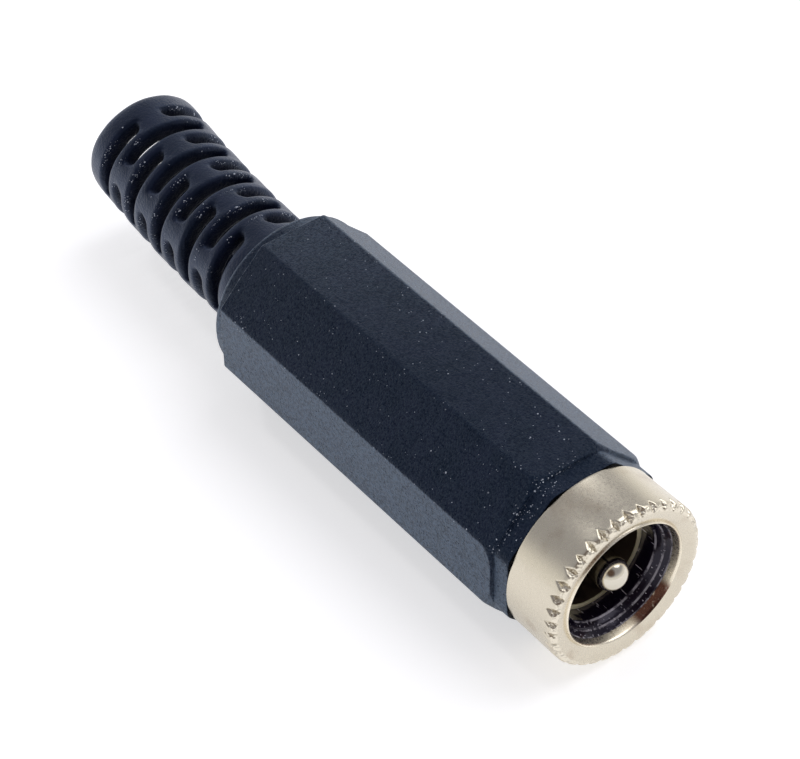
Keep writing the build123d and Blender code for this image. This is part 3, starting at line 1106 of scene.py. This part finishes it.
@dataclass
class NoseShell:
    """Turned nickel-plated nose with a notched front edge and the barrel behind it."""

    sizes: Extent
    head_length: float = 3.75
    corner: float = 0.42
    back_break: float = 0.12
    barrel_wall: float = 0.43
    bore: float = 3.97
    mouth: float = 3.96
    mouth_foot: float = 3.79
    mouth_break: float = 0.32
    seat_depth: float = 0.69
    rim_length: float = 0.4
    rim_hold: float = 0.5
    rim_break: float = 0.08
    notch_count: int = 38
    notch_foot: float = 4.8
    notch_lean: float = 33.0
    notch_slope: float = 0.85
    notch_reach: float = 0.45
    notch_lead: float = 0.08
    notch_softness: float = 0.05
    notch_unevenness: float = 0.07
    notch_steps: int = 20
    rows: int = 14

    def outline(self) -> list[Point]:
        """Gives the shell's section, with close rows where the notches are pressed in."""
        outer = self.sizes.radius
        barrel = self.bore + self.barrel_wall
        face_start = (0.0, self.notch_foot - self.notch_lead)
        face_rows = self.spread(face_start, (0.0, outer - self.corner), self.rows // 2)
        side_end = (-self.corner - self.notch_reach, outer)
        side_rows = self.spread((-self.corner, outer), side_end, self.rows // 2)
        arc = []
        for i in range(1, self.rows):
            turn = math.pi / 2 * i / self.rows
            x = -self.corner + self.corner * math.cos(turn)
            arc.append((x, outer - self.corner + self.corner * math.sin(turn)))
        back = -self.head_length
        inside = eased([
            Corner(back, outer, self.back_break),
            Corner(back, barrel),
            Corner(self.sizes.back, barrel, self.rim_break),
            Corner(self.sizes.back, self.bore - self.rim_hold),
            Corner(self.sizes.back + self.rim_length, self.bore - self.rim_hold),
            Corner(self.sizes.back + self.rim_length, self.bore),
            Corner(-self.seat_depth, self.bore),
            Corner(-self.seat_depth, self.mouth_foot),
            Corner(0.0, self.mouth, self.mouth_break),
        ])
        return [*face_rows, *arc, *side_rows, *inside]

    @staticmethod
    def spread(start: Point, end: Point, steps: int) -> list[Point]:
        """Divides a straight stretch of an outline evenly, both ends included."""
        return [
            (start[0] + (end[0] - start[0]) * i / steps, start[1] + (end[1] - start[1]) * i / steps)
            for i in range(steps + 1)
        ]

    @staticmethod
    def notch_tree() -> GeometryTree:
        """Builds the tree that presses a V notch into the corner at each step round the axis."""
        tree = GeometryTree("pressed_notches")
        count = tree.size("Count")
        foot = tree.size("Foot radius")
        lean = tree.size("Lean")
        slope = tree.size("Slope")
        soft = tree.size("Softness")
        uneven = tree.size("Unevenness")
        x, y, z = tree.position()
        radius = tree.hypotenuse(y, z)
        angle = tree.math("ARCTAN2", tree.product(y, -1.0), z)
        step = tree.math("DIVIDE", TURN, count)
        half = tree.product(step, 0.5)
        local = tree.math("WRAP", angle, half, tree.product(half, -1.0))
        index = tree.math("ROUND", tree.math("DIVIDE", angle, step))
        chance = tree.node("ShaderNodeTexWhiteNoise", noise_dimensions="1D")
        tree.join(index, chance.inputs["W"])
        change = tree.product(tree.math("SUBTRACT", chance.outputs["Value"], 0.5), uneven)
        aside = tree.math("ABSOLUTE", tree.product(radius, local))
        side = tree.product(aside, slope)
        forward = tree.math("SINE", lean)
        outward = tree.math("COSINE", lean)
        above = tree.product(tree.math("SUBTRACT", radius, foot), outward)
        above = tree.math("ADD", above, tree.product(x, forward))
        above = tree.math("ADD", above, change)
        drop = tree.math("SMOOTH_MAX", tree.math("SUBTRACT", above, side), 0.0, soft)
        along = tree.product(drop, forward, -1.0)
        inward = tree.math("DIVIDE", tree.product(drop, outward, -1.0), radius)
        offset = tree.vector(along, tree.product(inward, y), tree.product(inward, z))
        tree.move_points("Offset", offset)
        return tree

    def dress_lip(self, shell: bpy.types.Object, lip: bpy.types.Material) -> None:
        """Gives the mouth's lip its own nickel, lightened as painted light.

        Args:
            shell: The finished nose.
            lip: Nickel of the mouth's lip, lightened as painted light, with a painted brown reflection.
        """
        shell.data.materials.append(lip)
        for face in shell.data.polygons:
            spot = face.center / MM
            in_mouth = math.hypot(spot.y, spot.z) < self.mouth + self.mouth_break / 2
            if in_mouth and -self.seat_depth < spot.x < 0:
                face.material_index = 1

    def build(self, finish: bpy.types.Material, lip: bpy.types.Material) -> bpy.types.Object:
        """Makes the nose and presses its notches.

        Args:
            finish: Nickel of the shell.
            lip: Nickel of the mouth's lip, lightened as painted light, with a painted brown reflection on one
                stretch.

        Returns:
            The object.
        """
        section = self.outline()
        angles = even_angles(self.notch_count * self.notch_steps)
        shell = turned_piece("nose", lambda angle: section, angles)
        self.notch_tree().run(
            shell,
            Edges.MOULDED,
            Count=float(self.notch_count),
            Foot_radius=self.notch_foot * MM,
            Lean=math.radians(self.notch_lean),
            Slope=self.notch_slope,
            Softness=self.notch_softness * MM,
            Unevenness=self.notch_unevenness * MM,
            Finish=finish,
        )
        self.dress_lip(shell, lip)
        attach(shell, "root")
        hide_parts("nose_shell")
        return shell


@dataclass
class SocketBody:
    """Glossy moulded insert: funnel with a fine step, plug bore, floor and boss."""

    sizes: Extent
    mouth: float = 3.79
    bore: float = 3.25
    funnel: float = 0.9
    step: float = 0.05
    floor: float = 1.6
    boss_radius: float = 1.7
    boss_rise: float = 0.9
    pin_hole: float = 0.72
    rim_break: float = 0.03
    back_break: float = 0.1
    boss_foot: float = 0.05
    boss_break: float = 0.08
    floor_break: float = 0.1
    bore_break: float = 0.06
    step_break: float = 0.02
    segments: int = 128

    def build(self, finish: bpy.types.Material) -> bpy.types.Object:
        """Makes the insert.

        Args:
            finish: Glossy black plastic.

        Returns:
            The object.
        """
        front = self.sizes.front
        back = self.sizes.back + self.boss_rise
        middle_x = front - self.funnel / 2
        middle_r = (self.mouth + self.bore) / 2
        section = eased([
            Corner(front, self.sizes.radius, self.rim_break),
            Corner(back, self.sizes.radius, self.back_break),
            Corner(back, self.boss_radius, self.boss_foot),
            Corner(self.sizes.back, self.boss_radius, self.boss_break),
            Corner(self.sizes.back, self.pin_hole),
            Corner(back + self.floor, self.pin_hole),
            Corner(back + self.floor, self.bore, self.floor_break),
            Corner(front - self.funnel, self.bore, self.bore_break),
            Corner(middle_x - self.step, middle_r - self.step, self.step_break),
            Corner(middle_x, middle_r, self.step_break),
            Corner(front, self.mouth, self.rim_break),
        ])
        body = turned_piece("socket_insert", lambda angle: section, even_angles(self.segments))
        dress(body, finish)
        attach(body, "root")
        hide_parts("socket_body")
        return body


@dataclass
class CentrePin:
    """Turned pin with a domed tip, a flange on the floor and a peened tail."""

    sizes: Extent
    radius: float = 1.0
    flange_length: float = 0.5
    floor: float = -10.39
    shank: float = 0.7
    peen_length: float = 0.35
    dome_steps: int = 14
    segments: int = 96

    def build(self, finish: bpy.types.Material) -> bpy.types.Object:
        """Makes the pin.

        Args:
            finish: Bright nickel.

        Returns:
            The object.
        """
        centre = self.sizes.front - self.radius
        dome = []
        for i in range(self.dome_steps + 1):
            turn = math.pi / 2 * i / self.dome_steps
            radius = self.radius * math.sin(turn) if i else 0.0
            dome.append((centre + self.radius * math.cos(turn), radius))
        peen = self.sizes.back + self.peen_length
        tail = [
            (self.floor + self.flange_length, self.radius),
            (self.floor + self.flange_length, self.sizes.radius),
            (self.floor, self.sizes.radius),
            (self.floor, self.shank),
            (peen, self.shank),
            (peen, self.radius),
            (self.sizes.back, self.shank),
            (self.sizes.back, 0.0),
        ]
        section = [*dome, *tail]
        pin = turned_piece("contact_pin", lambda angle: section, even_angles(self.segments))
        dress(pin, finish)
        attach(pin, "root")
        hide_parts("centre_pin")
        return pin


@dataclass
class SleeveContact:
    """Rolled spring sleeve with a seam, three pressed-in tongues and its tab."""

    sizes: Extent
    radius: float = 3.23
    sheet: float = 0.3
    sleeve_back: float = -10.34
    seam: float = 0.6
    tongues: int = 3
    tongue_start: float = 0.9
    tongue_length: float = 4.6
    tongue_width: float = 1.5
    slit: float = 0.25
    press: float = 0.22
    lip: float = 0.05
    tab_width: float = 1.6
    tab_gap: float = 0.02
    widest_cell: float = 9.0
    turn_slack: float = 0.1
    run_slack: float = 0.01

    def build(self, finish: bpy.types.Material, bronze_painted_shade: bpy.types.Material) -> bpy.types.Object:
        """Makes the sleeve.

        Args:
            finish: Spring bronze of its front edge, lightened as painted light.
            bronze_painted_shade: Spring bronze of its walls and tab, darkened as painted shade.

        Returns:
            The object.
        """
        middle = self.radius - self.sheet / 2
        seam_half = math.degrees(self.seam / 2 / middle)
        blade_half = math.degrees(self.tongue_width / 2 / middle)
        window_half = blade_half + math.degrees(self.slit / middle)
        centres = [360 * (i + 0.5) / self.tongues for i in range(self.tongues)]
        marks = [seam_half, 360 - seam_half]
        for centre in centres:
            marks += [centre + side * half for side in (-1, 1) for half in (blade_half, window_half)]
        lines = self.filled(sorted(marks))
        front = self.sizes.front
        root = front - self.tongue_start
        tip = root - self.tongue_length
        lip = self.lip
        runs = [front, front - lip, root, root - lip, (root + tip) / 2, tip + lip, tip, tip - self.slit]
        runs += [self.sleeve_back + lip, self.sleeve_back]
        rings = [Cage(run, self.radius, self.radius - self.sheet) for run in runs]

        def off_centre(angle: float) -> float:
            """Angle to the nearest tongue's middle, in degrees."""
            return min(abs(angle - centre) for centre in centres)

        def is_open(ring: int, line: int) -> bool:
            """Says whether a cell lies in the seam or in a slit."""
            start = lines[line]
            span = (lines[(line + 1) % len(lines)] - start) % 360
            middle_angle = (start + span / 2) % 360
            if min(middle_angle, 360 - middle_angle) < seam_half:
                return True
            off = off_centre(middle_angle)
            x = (runs[ring] + runs[ring + 1]) / 2
            beside = blade_half < off < window_half and tip - self.slit < x < root
            beyond = off < window_half and tip - self.slit < x < tip
            return beside or beyond

        def place(ring: int, line: int, radius: float) -> Vector:
            """Gives a cage point, with the tongues leaning in."""
            x = runs[ring]
            on_tongue = off_centre(lines[line]) < blade_half + self.turn_slack
            if on_tongue and tip - self.run_slack < x < root:
                radius -= self.press * (root - x) / self.tongue_length
            return around(x, math.radians(lines[line]), radius)

        tube = PiercedTube("spring_sleeve", rings, lines, is_open, place)
        sleeve = tube.build(Edges.TURNED)
        dress(sleeve, finish, bronze_painted_shade)
        # The front edge gets the lightened bronze and the walls the darkened one: painted light and painted
        # shade
        for face in sleeve.data.polygons:
            face.material_index = 0 if face.center.x > (front - lip) * MM else 1
        tab = self.make_tab()
        dress(tab, bronze_painted_shade)
        join_pieces(sleeve, tab)
        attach(sleeve, "root")
        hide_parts("sleeve_contact")
        return sleeve

    def filled(self, marks: Sequence[float]) -> list[float]:
        """Adds lines between marks so that no cell is wider than the widest allowed.

        Args:
            marks: Angles in degrees, in rising order.

        Returns:
            The angles with the added lines.
        """
        lines: list[float] = []
        for i, start in enumerate(marks[:-1]):
            span = marks[i + 1] - start
            parts = math.ceil(span / self.widest_cell)
            lines += [start + span * part / parts for part in range(parts)]
        return [*lines, marks[-1]]

    def make_tab(self) -> bpy.types.Object:
        """Makes the strip that passes through the insert's floor."""
        half = self.tab_width / 2
        low = -self.radius + self.tab_gap
        high = -self.radius + self.sheet
        points = []
        for x in (self.sleeve_back + self.slit, self.sizes.back):
            points += [Vector((x, y, z)) for y, z in ((-half, low), (half, low), (half, high), (-half, high))]
        faces = [(0, 1, 2, 3), (4, 5, 6, 7)]
        faces += [(i, (i + 1) % 4, (i + 1) % 4 + 4, i + 4) for i in range(4)]
        return mesh_piece("sleeve_tab", points, faces, Edges.TURNED)


@dataclass
class Handle:
    """Moulded octagonal grip and the bent, slotted tail that grows out of it."""

    sizes: Extent
    grip_across: float = 10.67
    grip_corner: float = 0.3
    collar_across: float = 10.2
    collar_corner: float = 1.1
    collar_length: float = 1.14
    grip_length: float = 24.5
    front_cut: float = 0.36
    front_cut_length: float = 0.5
    edge_break: float = 0.06
    shoulder_length: float = 0.8
    shoulder_step: float = 0.04
    seat_ease: float = 0.04
    collar_ease: float = 0.12
    collar_foot: float = 0.06
    front_ease: float = 0.05
    cut_ease: float = 0.3
    back_ease: float = 0.08
    shoulder_foot: float = 0.03
    shoulder_ease: float = 0.3
    seat: float = 4.45
    seat_back: float = -13.29
    cavity: float = 4.135
    cavity_back: float = -26.49
    cavity_cone: float = 1.8
    cable: float = 2.66
    tail_length: float = 16.31
    tail_root: float = 3.69
    tail_end: float = 3.82
    tail_sunk: float = 0.4
    root_flare: float = 0.3
    root_fillet: float = 0.16
    root_runs: tuple[float, ...] = (0.3, 0.95)
    last_rib: float = 1.3
    tip_rings: tuple[Place, ...] = ((0.6, 0.0, 0.0), (0.14, 0.1, 0.02), (0.0, 0.42, 0.15))
    slot_rows: int = 9
    slot_pitch: float = 1.4725
    slot_width: float = 0.78
    slot_start: float = 2.53
    slot_turn: float = 6.0
    slots_in_row: int = 3
    bridge: float = 22.0
    slot_lines: tuple[float, ...] = (24.0, 36.0)
    near_ease: float = 8.0
    middle_ease: float = 2.0
    near_flare: float = 0.05
    far_flare: float = 0.12
    bend_radius: float = 111.0
    bend_turn: float = 40.7
    lip_depth: float = 0.28
    bore_lip: float = 0.82
    flat_steps: int = 6
    corner_steps: int = 5
    tail_levels: int = 2

    @property
    def grip_front(self) -> float:
        """Place of the grip's front end."""
        return self.sizes.front - self.collar_length

    @property
    def tail_start(self) -> float:
        """Place of the shoulder's rear face, where the tail starts."""
        return self.grip_front - self.grip_length - self.shoulder_length

    def section_angles(self) -> list[float]:
        """Gives the angles of the grip's sections, close where the octagon turns a corner."""
        half = math.pi / GRIP_SIDES
        apothem = self.grip_across / 2
        edge = math.atan((apothem - self.grip_corner) * math.tan(half) / apothem)
        steps = range(-self.flat_steps, self.flat_steps + 1)
        flat = [edge * math.sin(math.pi / 2 * i / self.flat_steps) for i in steps]
        gap = 2 * (half - edge)
        corner = [edge + gap * i / self.corner_steps for i in range(1, self.corner_steps)]
        return [2 * half * side + angle for side in range(GRIP_SIDES) for angle in (*flat, *corner)]

    def grip_outline(self, angle: float) -> list[Point]:
        """Gives the section of grip, collar, shoulder and cavity at an angle.

        Args:
            angle: Angle in radians from the top flat's middle.

        Returns:
            Points of the closed section.
        """
        collar = octagon_radius(angle, self.collar_across, self.collar_corner)
        grip = octagon_radius(angle, self.grip_across, self.grip_corner)
        sharp_corner = self.grip_across / 2 / math.cos(math.pi / GRIP_SIDES)
        cut = sharp_corner - self.front_cut
        front = min(cut, grip - self.edge_break)
        depth = max(self.edge_break, self.front_cut_length * (grip - cut) / self.front_cut)
        shoulder = self.grip_across / 2 - self.shoulder_step
        x_grip = self.grip_front
        x_back = x_grip - self.grip_length
        return eased([
            Corner(self.sizes.front, self.seat, self.seat_ease),
            Corner(self.sizes.front, collar, self.collar_ease),
            Corner(x_grip, collar, self.collar_foot),
            Corner(x_grip, front, self.front_ease),
            Corner(x_grip - depth, grip, self.cut_ease),
            Corner(x_back, grip, self.back_ease),
            Corner(x_back, shoulder, self.shoulder_foot),
            Corner(self.tail_start, shoulder, self.shoulder_ease),
            Corner(self.tail_start, self.cable),
            Corner(self.cavity_back - self.cavity_cone, self.cable),
            Corner(self.cavity_back, self.cavity),
            Corner(self.seat_back, self.cavity),
            Corner(self.seat_back, self.seat),
        ])

    def tail_rings(self) -> list[Cage]:
        """Gives the rings of the tail's cage, from inside the shoulder to the rounded tip."""
        flare = (self.tail_end - self.tail_root) / self.tail_length

        def outer(run: float) -> float:
            """Radius of the tail at a length along it."""
            return self.tail_root + flare * run

        rings = [
            Cage(-self.tail_sunk, self.tail_root + self.root_flare, self.cable + self.root_flare),
            Cage(0.0, self.tail_root + self.root_fillet, self.cable),
        ]
        rings += [Cage(run, outer(run), self.cable) for run in self.root_runs]
        half = self.slot_width / 2
        for row in range(self.slot_rows):
            run = self.slot_start + row * self.slot_pitch
            for place, part in ((-half, SlotPart.NEAR), (0.0, SlotPart.MIDDLE), (half, SlotPart.FAR)):
                rings.append(Cage(run + place, outer(run + place), self.cable, row, part))
            if row < self.slot_rows - 1:
                rib = run + self.slot_pitch / 2
                rings.append(Cage(rib, outer(rib), self.cable))
        last = self.tail_length - self.last_rib
        rings.append(Cage(last, outer(last), self.cable))
        # The tip's rings stand this far before the end, in from the outside and out from the bore
        for back, inward, outward in self.tip_rings:
            rings.append(Cage(self.tail_length - back, self.tail_end - inward, self.cable + outward))
        return rings

    def tail_cage(self) -> bpy.types.Object:
        """Makes the straight tail with its staggered rows of slots."""
        in_bridge = 3
        offsets = [self.bridge * (i / in_bridge - 0.5) for i in range(in_bridge + 1)]
        offsets += self.slot_lines
        eases = {SlotPart.NEAR: self.near_ease, SlotPart.MIDDLE: self.middle_ease}
        flares = {SlotPart.NEAR: -self.near_flare, SlotPart.FAR: self.far_flare}
        sectors = 2 * self.slots_in_row
        starts = [self.slot_turn + 360.0 / sectors * i for i in range(sectors)]
        lines = [start + offset for start in starts for offset in offsets]
        per_sector = len(offsets)
        rings = self.tail_rings()

        def is_open(ring: int, line: int) -> bool:
            """Says whether a cell lies in a slot."""
            first, second = rings[ring], rings[ring + 1]
            if first.row < 0 or first.row != second.row:
                return False
            sector, place = divmod(line, per_sector)
            return not (place < in_bridge and sector % 2 == first.row % 2)

        def place(ring: int, line: int, radius: float) -> Vector:
            """Gives a cage point, with the corners of the slots drawn in so that their ends are round."""
            cage = rings[ring]
            angle = lines[line]
            sector, spot = divmod(line, per_sector)
            ease = eases.get(cage.part, 0.0) if sector % 2 == cage.row % 2 else 0.0
            if spot == 0:
                angle -= ease
            if spot == in_bridge:
                angle += ease
            share = (cage.outer - radius) / (cage.outer - cage.inner)
            run = cage.run + flares.get(cage.part, 0.0) * max(0.0, 1.0 - share / self.lip_depth)
            return around(self.tail_start - run, math.radians(angle), radius)

        lips = (self.lip_depth, self.bore_lip)
        return PiercedTube("tail", rings, lines, is_open, place, lips).build(Edges.SOFT)

    @staticmethod
    def bend_tree() -> GeometryTree:
        """Builds the tree that bends a straight tail along an arc."""
        tree = GeometryTree("bent_tail")
        start = tree.size("Start")
        radius = tree.size("Bend radius")
        lean = tree.size("Lean")
        x, y, z = tree.position()
        run = tree.math("MAXIMUM", tree.math("SUBTRACT", start, x), 0.0)
        ahead = tree.math("MAXIMUM", tree.math("SUBTRACT", x, start), 0.0)
        turn = tree.math("DIVIDE", run, radius)
        sin_turn = tree.math("SINE", turn)
        cos_turn = tree.math("COSINE", turn)
        sin_lean = tree.math("SINE", lean)
        cos_lean = tree.math("COSINE", lean)
        up = tree.math("ADD", tree.product(y, sin_lean), tree.product(z, cos_lean))
        side = tree.math("SUBTRACT", tree.product(y, cos_lean), tree.product(z, sin_lean))
        arm = tree.math("SUBTRACT", radius, up)
        new_up = tree.math("SUBTRACT", radius, tree.product(arm, cos_turn))
        new_x = tree.math("SUBTRACT", tree.math("ADD", start, ahead), tree.product(arm, sin_turn))
        new_y = tree.math("ADD", tree.product(new_up, sin_lean), tree.product(side, cos_lean))
        new_z = tree.math("SUBTRACT", tree.product(new_up, cos_lean), tree.product(side, sin_lean))
        tree.move_points("Position", tree.vector(new_x, new_y, new_z))
        return tree

    def build(self, grip_finish: bpy.types.Material, tail_finish: bpy.types.Material) -> bpy.types.Object:
        """Makes the handle as one object.

        Args:
            grip_finish: Grained plastic of the grip.
            tail_finish: Smooth plastic of the tail.

        Returns:
            The object.
        """
        grip = turned_piece("grip_and_tail", self.grip_outline, self.section_angles(), Edges.MOULDED)
        dress(grip, grip_finish)
        tail = self.tail_cage()
        subdivide(tail, self.tail_levels)
        self.bend_tree().run(
            tail,
            Edges.SOFT,
            Start=self.tail_start * MM,
            Bend_radius=self.bend_radius * MM,
            Lean=math.radians(self.bend_turn),
            Finish=tail_finish,
        )
        join_pieces(grip, tail)
        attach(grip, "root")
        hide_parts("handle")
        return grip


@dataclass
class SolderLugs:
    """The two stamped lugs behind the socket, kept as the frame's own solids."""

    names: tuple[str, ...] = ("pin_lug", "sleeve_lug")

    def dress(self, finish: bpy.types.Material) -> None:
        """Gives both lugs their tin.

        Args:
            finish: Tin plating.
        """
        for name in self.names:
            dress(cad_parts[name], finish)


@dataclass(frozen=True)
class PhotoCamera:
    """Camera that looks down on the object from the mouth's side."""

    aim: Place = (-20.156, 0.522, 0.0)
    distance: float = 164.0
    azimuth: float = 52.757
    elevation: float = 43.139
    roll: float = -1.097
    lens: float = 129.85
    sensor: float = 36.0
    clip: tuple[float, float] = (0.01, 10.0)

    def build(self) -> bpy.types.Object:
        """Makes the camera and sets it as the scene's."""
        data = bpy.data.cameras.new("photo_camera")
        data.lens = self.lens
        data.sensor_width = self.sensor
        data.clip_start, data.clip_end = self.clip
        camera = link(bpy.data.objects.new("photo_camera", data))
        turn = math.radians(self.azimuth)
        rise = math.radians(self.elevation)
        back = Vector((math.sin(turn) * math.cos(rise), -math.cos(turn) * math.cos(rise), math.sin(rise)))
        camera.location = (Vector(self.aim) + back * self.distance) * MM
        camera.rotation_euler = (-back).to_track_quat("-Z", "Y").to_euler()
        camera.rotation_euler.rotate_axis("Z", math.radians(self.roll))
        bpy.context.scene.camera = camera
        return camera


@dataclass(frozen=True)
class SoftLight:
    """Round area light aimed at the object."""

    name: str
    direction: Place
    distance: float
    size: float
    power: float
    colour: Colour = (1.0, 1.0, 1.0)

    def build(self, aim: Vector) -> bpy.types.Object:
        """Makes the light.

        Args:
            aim: Point in metres that it shines on.

        Returns:
            The light's object.
        """
        data = bpy.data.lights.new(self.name, "AREA")
        data.shape = "DISK"
        data.size = self.size
        data.energy = self.power
        data.color = self.colour
        lamp = link(bpy.data.objects.new(self.name, data))
        towards = Vector(self.direction).normalized()
        lamp.location = aim + towards * self.distance
        lamp.rotation_euler = (-towards).to_track_quat("-Z", "Y").to_euler()
        return lamp


@dataclass
class Studio:
    """Pale floor, bright horizon, dim ceiling and a dark card in front, with soft lamps from above."""

    floor_height: float
    floor_size: float = 1.2
    floor_colour: Colour = (0.8, 0.8, 0.82)
    floor_lift: float = 0.55
    backdrop: Colour = (1.0, 1.0, 1.0)
    horizon: Colour = (1.0, 0.99, 0.97)
    ceiling: Colour = (0.4, 0.4, 0.43)
    ceiling_rise: Fade = Fade(0.08, 0.5)
    card: Colour = (0.12, 0.08, 0.06)
    card_way: Place = (0.581, -0.442, 0.684)
    card_edge: Fade = Fade(0.85, 0.97)
    lights: tuple[SoftLight, ...] = (
        SoftLight("key", (0.1, 0.6, 1.0), 0.55, 0.5, 1.2),
        SoftLight("glint", (-0.68, -0.13, 0.72), 0.6, 0.07, 0.25),
    )

    def floor(self) -> bpy.types.Object:
        """Makes the floor, which is white to the camera and keeps the object's shadow."""
        half = self.floor_size / 2 / MM
        ends = ((-half, -half), (half, -half), (half, half), (-half, half))
        corners = [Vector((x, y, self.floor_height)) for x, y in ends]
        plane = mesh_piece("floor", corners, [(0, 1, 2, 3)], Edges.SOFT)
        plane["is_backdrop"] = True
        material = bpy.data.materials.new("floor_paper")
        material.use_nodes = True
        work = NodeWork(material.node_tree)
        work.tree.nodes.clear()
        paper = work.node("ShaderNodeBsdfDiffuse")
        lift = work.node("ShaderNodeEmission")
        both = work.node("ShaderNodeAddShader")
        work.join(self.floor_colour, paper.inputs["Color"])
        work.join(work.product(self.seen_share(work), self.floor_lift), lift.inputs["Strength"])
        work.feed(both, paper.outputs[0], lift.outputs[0])
        work.feed(work.node("ShaderNodeOutputMaterial"), both.outputs[0])
        dress(plane, material)
        return plane

    @staticmethod
    def seen_share(work: NodeWork) -> bpy.types.NodeSocket:
        """Gives 1 on camera, glossy and transmission rays and 0 on others."""
        rays = work.node("ShaderNodeLightPath").outputs
        return work.highest(rays["Is Camera Ray"], rays["Is Glossy Ray"], rays["Is Transmission Ray"])

    def world(self) -> None:
        """Makes the surroundings: white to the camera, and to the object pale, dim above and dark ahead."""
        world = bpy.data.worlds.new("studio")
        bpy.context.scene.world = world
        world.use_nodes = True
        work = NodeWork(world.node_tree)
        work.tree.nodes.clear()
        way = work.node("ShaderNodeTexCoord").outputs["Generated"]
        sky = work.mix(work.between(work.split(way)[2], self.ceiling_rise), self.horizon, self.ceiling)
        ahead = work.measure("DOT_PRODUCT", way, self.card_way)
        around_object = work.mix(work.between(ahead, self.card_edge), sky, self.card)
        seen = work.node("ShaderNodeLightPath").outputs["Is Camera Ray"]
        shine = work.node("ShaderNodeBackground")
        work.join(work.mix(seen, around_object, self.backdrop), shine.inputs["Color"])
        work.feed(work.node("ShaderNodeOutputWorld"), shine.outputs[0])

    def build(self, aim: Vector) -> None:
        """Makes floor, surroundings and lamps.

        Args:
            aim: Middle of the object in metres.
        """
        self.floor()
        self.world()
        for light in self.lights:
            light.build(aim)


def main() -> None:
    """Builds the object and its studio in order."""
    logging.basicConfig(level=logging.INFO, format="%(message)s")
    bpy.context.scene.view_settings.view_transform = "Standard"
    cad_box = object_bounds()
    platings = (NICKEL, LIP_NICKEL_PAINTED_LIGHT, PIN_NICKEL, BRONZE_PAINTED_LIGHT, BRONZE_PAINTED_SHADE, TIN)
    nickel, lip_nickel_painted_light, pin_nickel, bronze_painted_light, bronze_painted_shade, tin = [plating.make() for plating in platings]
    grained = GrainedPlastic().make()
    handle = Handle(Extent.of("handle"))
    first_edge = handle.slot_start + handle.slot_width / 2 + handle.far_flare
    smooth = SmoothPlastic(
        tail_start=handle.tail_start,
        first_edge=first_edge,
        last_edge=first_edge + (handle.slot_rows - 1) * handle.slot_pitch,
        edge_pitch=handle.slot_pitch,
        bend_radius=handle.bend_radius,
        bend_turn=handle.bend_turn,
        skin=handle.tail_root - handle.lip_depth / 2,
    ).make()
    glossy = ScratchedPlastic().make()
    pieces = [
        handle.build(grained, smooth),
        NoseShell(Extent.of("nose_shell")).build(nickel, lip_nickel_painted_light),
        SocketBody(Extent.of("socket_body")).build(glossy),
        CentrePin(Extent.of("centre_pin")).build(pin_nickel),
        SleeveContact(Extent.of("sleeve_contact")).build(bronze_painted_light, bronze_painted_shade),
    ]
    SolderLugs().dress(tin)
    for piece in pieces:
        LOG.info("%s: %d faces", piece.name, len(piece.data.polygons))
    low, high = cad_box
    Studio(low.z / MM).build((low + high) / 2)
    PhotoCamera().build()


if __name__ == "__main__":
    main()
